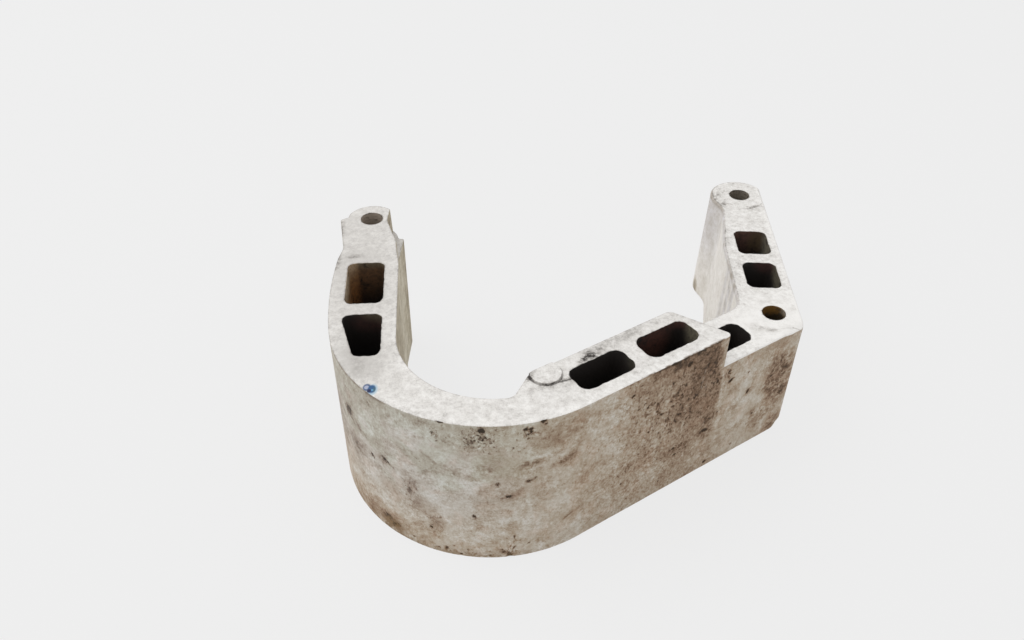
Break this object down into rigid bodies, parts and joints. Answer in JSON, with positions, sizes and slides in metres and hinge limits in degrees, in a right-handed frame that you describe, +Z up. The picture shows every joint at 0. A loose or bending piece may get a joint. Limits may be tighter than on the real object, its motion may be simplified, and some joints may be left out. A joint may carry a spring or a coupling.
{
  "type": "engine mounting bracket",
  "caption": "Cast aluminium engine bracket shaped like an open hook: a round bend joins a short arm to a stepped straight wall and an offset arm, with bolt bores and blind lightening pockets.",
  "frame": {"origin": "axis of the corner bore at the flat base", "axes": "+Z up along the bores, +Y from the corner bore to the bore at the end of the right arm, -X towards the left arm"},
  "size_m": [0.2111, 0.208, 0.0774],
  "materials": {
    "cast_aluminium": "machined top faces and weathered as-cast sides"
  },
  "bodies": {
    "root": {"bracket_casting": "cast_aluminium"}
  },
  "joints": []
}
